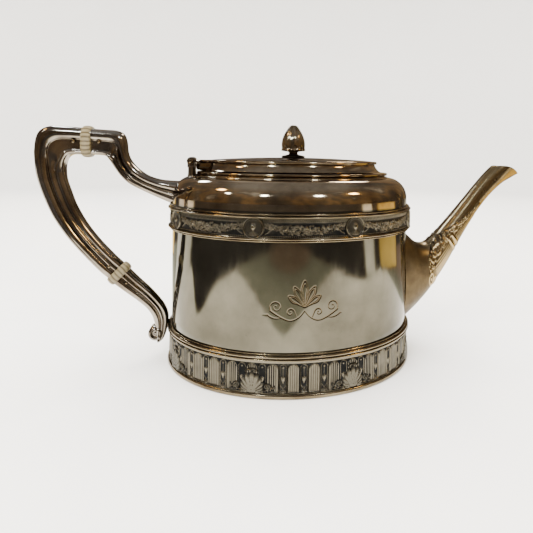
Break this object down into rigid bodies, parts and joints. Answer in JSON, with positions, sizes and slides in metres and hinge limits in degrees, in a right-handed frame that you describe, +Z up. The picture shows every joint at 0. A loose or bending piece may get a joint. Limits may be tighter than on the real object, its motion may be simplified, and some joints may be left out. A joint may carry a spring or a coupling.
{
  "type": "teapot",
  "caption": "Oval silver-plated teapot with hinged lid, acorn finial, leaf-moulded spout and square handle with bone insulators.",
  "frame": {"origin": "centre of the body's oval on the plane the foot stands on", "axes": "+X towards the spout, -X towards the handle, +Z up"},
  "size_m": [0.281, 0.1148, 0.1295],
  "materials": {
    "silver_polished": "polished silver plate with brown tarnish",
    "silver_oxidised": "silver plate relief with oxidised recesses",
    "silver_spout": "silver plate with a warm gold-brown tarnish",
    "bone": "polished bone, ribbed"
  },
  "bodies": {
    "pot": {"foot_rim": "silver_polished", "foot_frieze": "silver_oxidised", "foot_top_moulding": "silver_polished", "palmettes": "silver_oxidised", "body_wall": "silver_polished", "body_bottom": "silver_polished", "border_lower_moulding": "silver_polished", "border_frieze": "silver_oxidised", "border_top_moulding": "silver_polished", "medallions": "silver_oxidised", "shoulder": "silver_polished", "collar": "silver_polished", "spout": "silver_spout", "handle_upper_socket": "silver_polished", "upper_insulator": "bone", "handle_grip": "silver_polished", "lower_insulator": "bone", "handle_lower_socket": "silver_polished", "upper_insulator_pins": "silver_polished", "lower_insulator_pins": "silver_polished", "hinge_post": "silver_polished", "hinge_pin": "silver_polished"},
    "lid": {"lid": "silver_polished", "lid_flange": "silver_polished", "lid_bezel": "silver_polished", "lid_hinge_arm": "silver_polished", "finial": "silver_oxidised", "finial_base": "silver_polished", "finial_stud": "silver_polished", "finial_nut": "silver_polished"}
  },
  "joints": [
    {"name": "lid_hinge", "type": "hinge", "parent": "pot", "child": "lid", "pos_m": [-0.056, 0, 0.1082], "axis": [0, -1, 0], "range_deg": [0, 105]}
  ]
}
